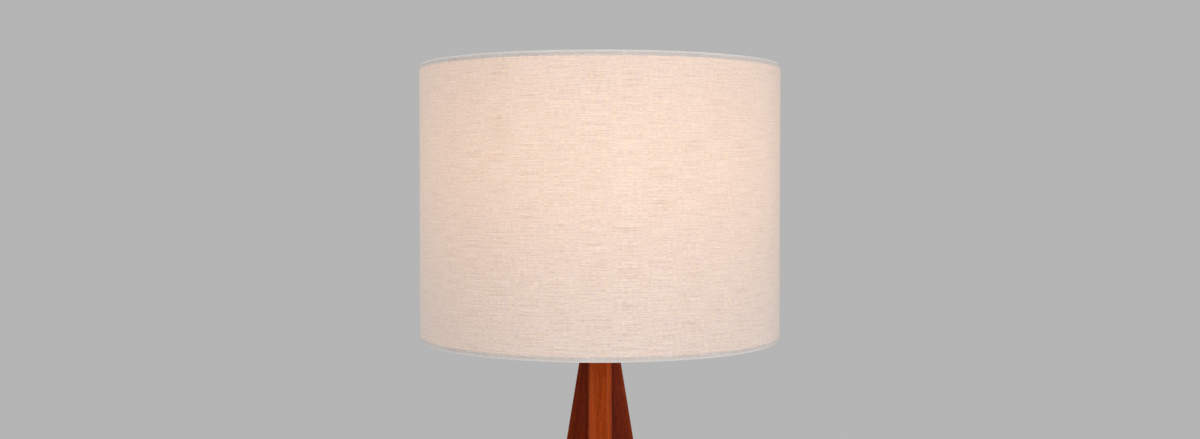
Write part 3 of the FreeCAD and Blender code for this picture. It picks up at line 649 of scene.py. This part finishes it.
linenFinish = {
    "thin": (0.818, 0.777, 0.768, 1),
    "thick": (0.404, 0.317, 0.302, 1),
    "weft": {"cells": (220, 1900, 1), "detail": 3, "roughness": 0.6},
    "bands": {"cells": (34, 950, 1), "shift": (3, 7, 0)},
    "warp": {"cells": (1000, 60, 1), "detail": 3, "roughness": 0.6, "shift": (11, 2, 0)},
    "cloud": {"cells": (30, 40, 1), "detail": 3},
    "shares": {"weft": 1.2, "bands": 0.70, "warp": 0.38, "cloud": 0.04},
    "slubs": {"cells": (34, 1500, 1), "detail": 0, "shift": (5, 9, 0)},
    "slubSpan": (0.71, 0.82),
    "slubShare": 0.35,
    "flecks": {"cells": (330, 800, 1), "detail": 0, "shift": (5, 1, 0)},
    "fleckSpan": (0.86, 0.89),
    "fleckShare": 0.7,
    "fleck": (0.16, 0.12, 0.10, 1),
    "tint": {"cells": (150, 700, 1), "shift": (17, 4, 0)},
    "coolYarn": (0.93, 0.95, 1.0, 1),
    "warmYarn": (1.0, 0.985, 0.865, 1),
    "crestHighlight": (0.95, 0.92, 0.885, 1),         # painted highlight along the crest of each hem, where the roll over its ring catches the light
    "crestShare": 0.65,
    "crestOuter": 0.7,       # shares of the roll, from its inner end, between which the crest is full
    "crestInner": 0.3,
    "roughness": (0.96, 0.88),               # thin and thick yarn
    "shine": 0.15,
    "sheen": 0.75,
    "threads": 1750,         # in a metre
    "threadRelief": 0.35,
    "bump": (0.35, 0.0003),
    "warm": (0.36, 0.19, 0.083, 1),          # lamp's light through the cloth
    "insideLight": (0.33, 0.215, 0.12, 1),   # bulb's light on the turned-in side of the hems
    "thickLight": 0.92,      # share of the light that gets through thick yarn
    "hemLight": 0.05,        # through the doubled hem
    "lapLight": 0.80,        # and through the two layers of the lap
    "softEdge": 0.0006,
}


def linenThickness(tree, place):
    slubs = noise(tree, place, **linenFinish["slubs"])
    thick = mapRange(tree, slubs, *linenFinish["slubSpan"], 0, linenFinish["slubShare"])
    for yarn, share in linenFinish["shares"].items():
        uneven = minus(tree, noise(tree, place, **linenFinish[yarn]), noiseMiddle)
        thick = plus(tree, thick, times(tree, uneven, share))
    return plus(tree, thick, noiseMiddle, clamp=True)


def linenCrestHighlight(tree, up):
    # painted highlight on the crest of each hem over its ring, and 1 on the outer side of the cloth
    rollFrom = linen["lip"]
    rollTo = rollFrom + cloth["roll"]
    innerEnd = rollFrom + linenFinish["crestInner"] * cloth["roll"]
    outerEnd = rollFrom + linenFinish["crestOuter"] * cloth["roll"]
    fromEdge = calc(tree, "MINIMUM", up, minus(tree, cloth["height"], up))
    # painted highlight, pale along the crest of each roll
    rubbed = mapRange(tree, fromEdge, rollTo, outerEnd, 0, linenFinish["crestShare"], smooth=True)
    outerSide = mapRange(tree, fromEdge, rollFrom, innerEnd, smooth=True)
    return times(tree, rubbed, outerSide), outerSide


def linenColour(tree, place, thick, crestHighlight):
    yarn = mixColour(tree, thick, linenFinish["thin"], linenFinish["thick"])
    tint = mapRange(tree, noise(tree, place, **linenFinish["tint"]), *noiseSpan)
    tone = mixColour(tree, tint, linenFinish["coolYarn"], linenFinish["warmYarn"])
    yarn = mixColour(tree, 1.0, yarn, tone, "MULTIPLY")
    flecks = noise(tree, place, **linenFinish["flecks"])
    flecks = mapRange(tree, flecks, *linenFinish["fleckSpan"], 0, linenFinish["fleckShare"])
    yarn = mixColour(tree, flecks, yarn, linenFinish["fleck"])
    # painted highlight on the hem crests
    return mixColour(tree, crestHighlight, yarn, linenFinish["crestHighlight"])


def linenLight(tree, across, up, thick, outerSide):
    # light through the cloth, little where the hem is doubled round a ring and less at the lap
    glow = useGroup(tree, lampGlow, objectPlace(tree), {})["Glow"]
    soft = linenFinish["softEdge"]
    lower = linen["lip"] + cloth["roll"] + linen["hemBand"]
    upper = cloth["height"] - lower
    aboveHem = mapRange(tree, up, lower - soft, lower + soft, smooth=True)
    belowHem = mapRange(tree, up, upper + soft, upper - soft, smooth=True)
    single = mapRange(tree, times(tree, aboveHem, belowHem), 0, 1, linenFinish["hemLight"], 1)
    seam = cloth["around"]
    lapped = mapRange(tree, across, seam - soft, seam + soft, 1, linenFinish["lapLight"], smooth=True)
    through = mapRange(tree, thick, 0, 1, 1, linenFinish["thickLight"])
    light = times(tree, times(tree, glow, times(tree, single, lapped)), through)
    lit = mixColour(tree, light, grey(0.0), linenFinish["warm"])
    facingBulb = times(tree, glow, minus(tree, 1, outerSide))
    return mixColour(tree, facingBulb, lit, linenFinish["insideLight"], "ADD")


def linenMaterial():
    made, tree, sockets = newMaterial("naturalLinen", {
        "Specular IOR Level": linenFinish["shine"],
        "Sheen Weight": linenFinish["sheen"],
        "Emission Strength": 1.0,
    })
    flat = tree.nodes.new("ShaderNodeTexCoord").outputs["UV"]
    place = stretch(tree, flat, (cloth["width"], cloth["width"], 1))     # metres on the flat cloth
    across, up = axesOf(tree, place)[:2]
    thick = linenThickness(tree, place)
    crestHighlight, outerSide = linenCrestHighlight(tree, up)
    feed(tree, linenColour(tree, place, thick, crestHighlight), sockets["Base Color"])
    feed(tree, mapRange(tree, thick, 0, 1, *linenFinish["roughness"]), sockets["Roughness"])
    feed(tree, linenLight(tree, across, up, thick, outerSide), sockets["Emission Color"])
    # single threads, over and under
    pitch = linenFinish["threads"] * 2 * math.pi
    over = calc(tree, "SINE", times(tree, across, pitch))
    under = calc(tree, "SINE", times(tree, up, pitch))
    threads = times(tree, times(tree, over, under), linenFinish["threadRelief"])
    addBump(tree, plus(tree, threads, thick), sockets, *linenFinish["bump"])
    return made


rollLinen()
print("linen rolled")


# Teak of the legs

legLow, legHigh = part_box("leg_front")
teak = {
    "grain": {
        "Pale": (0.345, 0.053, 0.0052, 1),
        "Dark": (0.172, 0.0212, 0.003, 1),
        "Pore": (0.07, 0.010, 0.002, 1),
        "Ring Width": 0.0048,
    },
    "shine": 0.04,
    "leanDeg": 9.0,          # of the grain, along the leg
    "boardHalf": (legHigh.x - legLow.x) / 2,
    "topReach": 0.0118,      # outer edge from the axis, at the top of the wood
    "uneven": {"cells": (220, 220, 30)},
    "unevenShare": (0.4, 1.0),
    "paintedSideShade": (0.50, 0.335, 0.20, 1),      # painted shade on the flat sides of the boards
    "sideFull": 0.0001,      # depth below the side where its painted shade is full
    "easing": 0.0016,
    "shadeFadeWidth": 0.006,      # painted side shade fades out within this width of the outer edge
    "shadeFadeShare": 0.75,
    "rubbed": (0.37, 0.072, 0.018, 1),       # paler band beside the eased corners, partly handling wear and partly painted sheen where the rounded edges catch the light
    "rubSheenInset": 0.0042,
    "rubSheenWidth": 0.0028,
    "rubSheenShare": 0.58,
    "mitreDeg": 30.0,
    "creaseShadeWidth": 0.004,    # painted shade along the mitres, in the crease where the boards meet
    "creaseShade": (0.74, 0.66, 0.62, 1),
}
legs = {                     # each board is from another place in the plank
    "leg_front": {"directionDeg": -90.0, "shift": (0.0, 0.0, 0.0)},
    "leg_rear_left": {"directionDeg": 150.0, "shift": (0.31, 0.17, 0.9)},
    "leg_rear_right": {"directionDeg": 30.0, "shift": (-0.23, 0.41, 1.7)},
}


def teakSideShade(tree, outward, offCentre, z, uneven):
    # painted shade on the flat sides, fading out unevenly towards the outer edge
    half = teak["boardHalf"]
    side = mapRange(tree, offCentre, half - teak["easing"], half - teak["sideFull"], smooth=True)
    splay = (-legLow.y - teak["topReach"]) / legHigh.z
    edge = plus(tree, times(tree, minus(tree, legHigh.z, z), splay), teak["topReach"])
    toEdge = minus(tree, edge, outward)
    # painted side shade fades out unevenly near the outer edge
    worn = mapRange(tree, toEdge, teak["shadeFadeWidth"], 0, 0, teak["shadeFadeShare"], smooth=True)
    return times(tree, side, minus(tree, 1, times(tree, worn, uneven)))


def teakCreaseShade(tree, outward, offCentre):
    # painted shade, darkest in the crease of each mitre
    slope = math.tan(math.radians(teak["mitreDeg"]))
    fromMitre = minus(tree, outward, times(tree, offCentre, slope))
    return mapRange(tree, fromMitre, teak["creaseShadeWidth"], 0, smooth=True)


def teakRubAndSheen(tree, offCentre, uneven):
    # paler band beside the eased corners: handling wear and painted sheen
    fromBand = calc(tree, "ABSOLUTE", minus(tree, offCentre, teak["boardHalf"] - teak["rubSheenInset"]))
    rubAndSheen = mapRange(tree, fromBand, teak["rubSheenWidth"], 0, 0, teak["rubSheenShare"], smooth=True)
    return times(tree, rubAndSheen, uneven)


def teakMaterial(name, directionDeg, shift):
    made, tree, sockets = newMaterial(name, {"Specular IOR Level": teak["shine"]})
    turned = stretch(tree, objectPlace(tree), turn=(0, 0, -directionDeg))
    along = stretch(tree, turned, turn=(0, teak["leanDeg"], 0), shift=shift)
    grain = useGroup(tree, woodGrain, along, teak["grain"])
    outward, sideways, z = axesOf(tree, turned)
    offCentre = calc(tree, "ABSOLUTE", sideways)
    uneven = mapRange(tree, noise(tree, along, **teak["uneven"]), *noiseSpan, *teak["unevenShare"])
    side = teakSideShade(tree, outward, offCentre, z, uneven)
    # painted shade on the flat sides
    tone = mixColour(tree, side, grey(1.0), teak["paintedSideShade"])
    # painted shade along the mitre creases
    tone = mixColour(tree, teakCreaseShade(tree, outward, offCentre), tone, teak["creaseShade"], "MULTIPLY")
    wood = mixColour(tree, 1.0, grain["Color"], tone, "MULTIPLY")
    wood = mixColour(tree, teakRubAndSheen(tree, offCentre, uneven), wood, teak["rubbed"])
    feed(tree, wood, sockets["Base Color"])
    feed(tree, grain["Roughness"], sockets["Roughness"])
    addBump(tree, grain["Height"], sockets, *woodLook["bump"])
    return made


# Finishes that are one of the shared skins

def skinMaterial(name, group, values, plain, bump):
    made, tree, sockets = newMaterial(name, plain)
    skin = useGroup(tree, group, objectPlace(tree), values)
    feed(tree, skin["Color"], sockets["Base Color"])
    feed(tree, skin["Roughness"], sockets["Roughness"])
    addBump(tree, skin["Height"], sockets, *bump)
    return made


def woodMaterial(name, values):
    return skinMaterial(name, woodGrain, values, {}, woodLook["bump"])


def metalMaterial(name, values):
    return skinMaterial(name, metalSkin, values, {"Metallic": 1.0}, metalLook["bump"])


def mouldedMaterial(name, values):
    return skinMaterial(name, mouldedSkin, values, {}, mouldedLook["bump"])


# Finishes of the bulb and of the liner

def paintNoise(tree, field, sockets, look):
    feed(tree, mixColour(tree, field, *look["colours"]), sockets["Base Color"])
    feed(tree, mapRange(tree, field, *noiseSpan, *look["roughness"]), sockets["Roughness"])


frosted = {
    "etched": {"cells": 1400},
    "colours": ((0.62, 0.60, 0.56, 1), (0.54, 0.52, 0.48, 1)),
    "roughness": (0.38, 0.52),
    "bump": (0.08, 0.0001),
    "neckLight": (0.36, 0.24, 0.13, 1),
    "globeLight": (0.78, 0.59, 0.41, 1),
    "dust": {"cells": 90, "detail": 3},
    "dustShare": 0.10,
    "dustLight": (0.58, 0.42, 0.27, 1),
}


def frostedMaterial():
    made, tree, sockets = newMaterial("frostedBulb", {"Emission Strength": 1.0})
    place = objectPlace(tree)
    etched = noise(tree, place, **frosted["etched"])
    paintNoise(tree, etched, sockets, frosted)
    addBump(tree, etched, sockets, *frosted["bump"])
    filled = mapRange(tree, axesOf(tree, place)[2], bulbLow.z, drum["bulbZ"], smooth=True)
    light = mixColour(tree, filled, frosted["neckLight"], frosted["globeLight"])
    dust = mapRange(tree, noise(tree, place, **frosted["dust"]), *noiseSpan, 0, frosted["dustShare"])
    feed(tree, mixColour(tree, dust, light, frosted["dustLight"]), sockets["Emission Color"])
    return made


glass = {
    "drawn": {"cells": (500, 500, 60)},
    "colours": ((0.95, 0.96, 0.95, 1), (0.86, 0.90, 0.89, 1)),
    "roughness": (0.03, 0.09),
    "bending": 1.5,
}


def glassMaterial():
    made, tree, sockets = newMaterial("clearGlass", {"Transmission Weight": 1.0, "IOR": glass["bending"]})
    paintNoise(tree, noise(tree, objectPlace(tree), **glass["drawn"]), sockets, glass)
    return made


filament = {
    "skin": {
        "Bright": (0.42, 0.41, 0.40, 1),
        "Dull": (0.20, 0.20, 0.21, 1),
        "Smooth": 0.3,
        "Rough": 0.5,
        "Turned": 0.0,
    },
    "hot": (1.0, 0.72, 0.36, 1),
    "hotFrom": 0.036,        # heights above the neck of the globe, from dark legs to the hot coil
    "hotTo": 0.048,
    "strength": 8.0,
}


def filamentMaterial():
    made, tree, sockets = newMaterial("hotFilament", {
        "Metallic": 1.0,
        "Emission Strength": filament["strength"],
    })
    place = objectPlace(tree)
    skin = useGroup(tree, metalSkin, place, filament["skin"])
    feed(tree, skin["Color"], sockets["Base Color"])
    feed(tree, skin["Roughness"], sockets["Roughness"])
    z = axesOf(tree, place)[2]
    hot = mapRange(tree, z, bulbLow.z + filament["hotFrom"], bulbLow.z + filament["hotTo"])
    feed(tree, mixColour(tree, hot, grey(0.0), filament["hot"]), sockets["Emission Color"])
    return made


liner = {
    "fibres": {"cells": (260, 260, 420), "detail": 4, "roughness": 0.65},
    "colours": ((0.84, 0.81, 0.76, 1), (0.72, 0.69, 0.64, 1)),
    "roughness": (0.45, 0.6),
    "bump": (0.1, 0.0001),
    "warm": (0.35, 0.24, 0.142, 1),
    "fibreLight": (1.0, 0.92),       # share of the light at thin and thick fibres
}


def linerMaterial():
    made, tree, sockets = newMaterial("stiffLiner", {"Emission Strength": 1.0})
    place = objectPlace(tree)
    fibres = noise(tree, place, **liner["fibres"])
    paintNoise(tree, fibres, sockets, liner)
    addBump(tree, fibres, sockets, *liner["bump"])
    glow = useGroup(tree, lampGlow, place, {})["Glow"]
    light = times(tree, glow, mapRange(tree, fibres, *noiseSpan, *liner["fibreLight"]))
    feed(tree, mixColour(tree, light, grey(0.0), liner["warm"]), sockets["Emission Color"])
    return made


# Finish of each material slot

slotFinishes = {
    "beech": woodMaterial("beechDowel", {
        "Pale": (0.60, 0.42, 0.25, 1),
        "Dark": (0.42, 0.26, 0.13, 1),
        "Pore": (0.25, 0.14, 0.07, 1),
    }),
    "nylon": mouldedMaterial("whiteNylon", {
        "Body": (0.70, 0.69, 0.65, 1),
        "Rubbed": (0.60, 0.58, 0.53, 1),
        "Smooth": 0.4,
        "Rough": 0.55,
    }),
    "zinc_steel": metalMaterial("zincSteel", {
        "Bright": (0.62, 0.63, 0.65, 1),
        "Dull": grey(0.40),
        "Smooth": 0.28,
        "Rough": 0.45,
        "Turned": 0.6,
    }),
    "brass": metalMaterial("satinBrass", {
        "Bright": (0.83, 0.60, 0.27, 1),
        "Dull": (0.62, 0.41, 0.16, 1),
        "Smooth": 0.17,
        "Rough": 0.33,
    }),
    "black_moulding": mouldedMaterial("blackMoulding", {
        "Body": (0.018, 0.017, 0.016, 1),
        "Rubbed": (0.035, 0.033, 0.031, 1),
        "Smooth": 0.3,
        "Rough": 0.48,
    }),
    "brown_moulding": mouldedMaterial("brownMoulding", {
        "Body": (0.045, 0.02, 0.011, 1),
        "Rubbed": (0.075, 0.036, 0.02, 1),
        "Smooth": 0.35,
        "Rough": 0.55,
    }),
    "insulating_paper": mouldedMaterial("greyPaper", {
        "Body": (0.30, 0.27, 0.22, 1),
        "Rubbed": (0.38, 0.34, 0.28, 1),
        "Smooth": 0.8,
        "Rough": 0.95,
    }),
    "bulb_aluminium": metalMaterial("bulbAluminium", {
        "Bright": (0.72, 0.72, 0.73, 1),
        "Dull": grey(0.52),
        "Smooth": 0.25,
        "Rough": 0.42,
        "Turned": 0.4,
    }),
    "solder": metalMaterial("solder", {
        "Bright": grey(0.60),
        "Dull": (0.40, 0.40, 0.41, 1),
        "Smooth": 0.3,
        "Rough": 0.55,
        "Turned": 0.0,
    }),
    "white_wire": mouldedMaterial("whiteEnamel", {
        "Body": (0.78, 0.77, 0.74, 1),
        "Rubbed": (0.66, 0.64, 0.60, 1),
        "Smooth": 0.3,
        "Rough": 0.45,
    }),
    "frosted_glass": frostedMaterial(),
    "clear_glass": glassMaterial(),
    "filament": filamentMaterial(),
    "shade_sheet": linerMaterial(),
}


def dressNode(name, material):
    node = cadNodes[name]
    node.data.materials.clear()
    node.data.materials.append(material)


for subpart in frame["record"]["subparts"]:
    name = subpart["node"]
    if name in legs:
        dressNode(name, teakMaterial(name + "Teak", **legs[name]))
    elif subpart["material_slot"] in slotFinishes:
        dressNode(name, slotFinishes[subpart["material_slot"]])
print("CAD nodes dressed")


# Rolled screw threads of the bulb and of the shell that takes it, in step at every turn

screw = {
    "pitch": 0.003629,
    "depth": 0.0008,
    "runOut": 0.0018,        # height in which the thread fades at its ends
    "wall": 0.0005,
    "aroundSteps": 72,
    "wallSteps": 80,
    "smoothDeg": 40.0,
    "weld": 0.00001,         # joins the edges where the sheet closes
    "bulbBevel": 0.0015,
    "bulbCollar": 0.0042,    # plain band under the glass
    "shellBevel": 0.001,
    "shellHole": 0.0055,     # radius of the hole round the centre contact
}


def threadAt(angle, z, lowZ, highZ):
    wave = (1 - math.cos(2 * math.pi * z / screw["pitch"] - angle)) / 2
    fadeIn = clampUnit((z - lowZ) / screw["runOut"])
    fadeOut = clampUnit((highZ - z) / screw["runOut"])
    return screw["depth"] * wave * fadeIn * fadeOut


def rollScrew(name, floor, wallRadius, lowZ, highZ, threadTo):
    # floor: places (radius, height) below the threaded wall, of the sheet's middle
    count = screw["wallSteps"]
    rows = floor + [(wallRadius, lowZ + (highZ - lowZ) * step / count) for step in range(count + 1)]
    sheet, places = addGrid(name, screw["aroundSteps"], len(rows) - 1)
    for vertex, (column, row) in zip(sheet.data.vertices, places):
        angle = 2 * math.pi * column / screw["aroundSteps"]
        radius, z = rows[row]
        radius -= threadAt(angle, z, lowZ, threadTo)
        vertex.co = (radius * math.cos(angle), radius * math.sin(angle), z)
    bpy.ops.object.mode_set(mode="EDIT")
    bpy.ops.mesh.select_all(action="SELECT")
    bpy.ops.mesh.remove_doubles(threshold=screw["weld"])
    bpy.ops.mesh.normals_make_consistent(inside=False)
    bpy.ops.object.mode_set(mode="OBJECT")
    thickenSheet(sheet, screw["wall"], screw["smoothDeg"])
    return sheet


def makeBulbScrew():
    low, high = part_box("bulb_base")
    wallRadius = high.x - screw["wall"] / 2
    bottom = low.z + screw["wall"] / 2
    floor = [(wallRadius - screw["bulbBevel"], bottom)]
    collar = high.z - screw["bulbCollar"]
    made = rollScrew("bulbScrew", floor, wallRadius, bottom + screw["bulbBevel"], high.z, collar)
    made.data.materials.append(slotFinishes["bulb_aluminium"])
    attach(made, "bulb")
    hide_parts("bulb_base")


def makeShellScrew():
    low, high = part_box("screw_shell")
    wallRadius = high.x - screw["wall"] / 2
    bottom = low.z + screw["wall"] / 2
    floor = [(screw["shellHole"], bottom), (wallRadius - screw["shellBevel"], bottom)]
    made = rollScrew("shellScrew", floor, wallRadius, bottom + screw["shellBevel"], high.z, high.z)
    made.data.materials.append(slotFinishes["brass"])
    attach(made, "lamp_base")
    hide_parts("screw_shell")


makeBulbScrew()
makeShellScrew()
print("screw threads rolled")
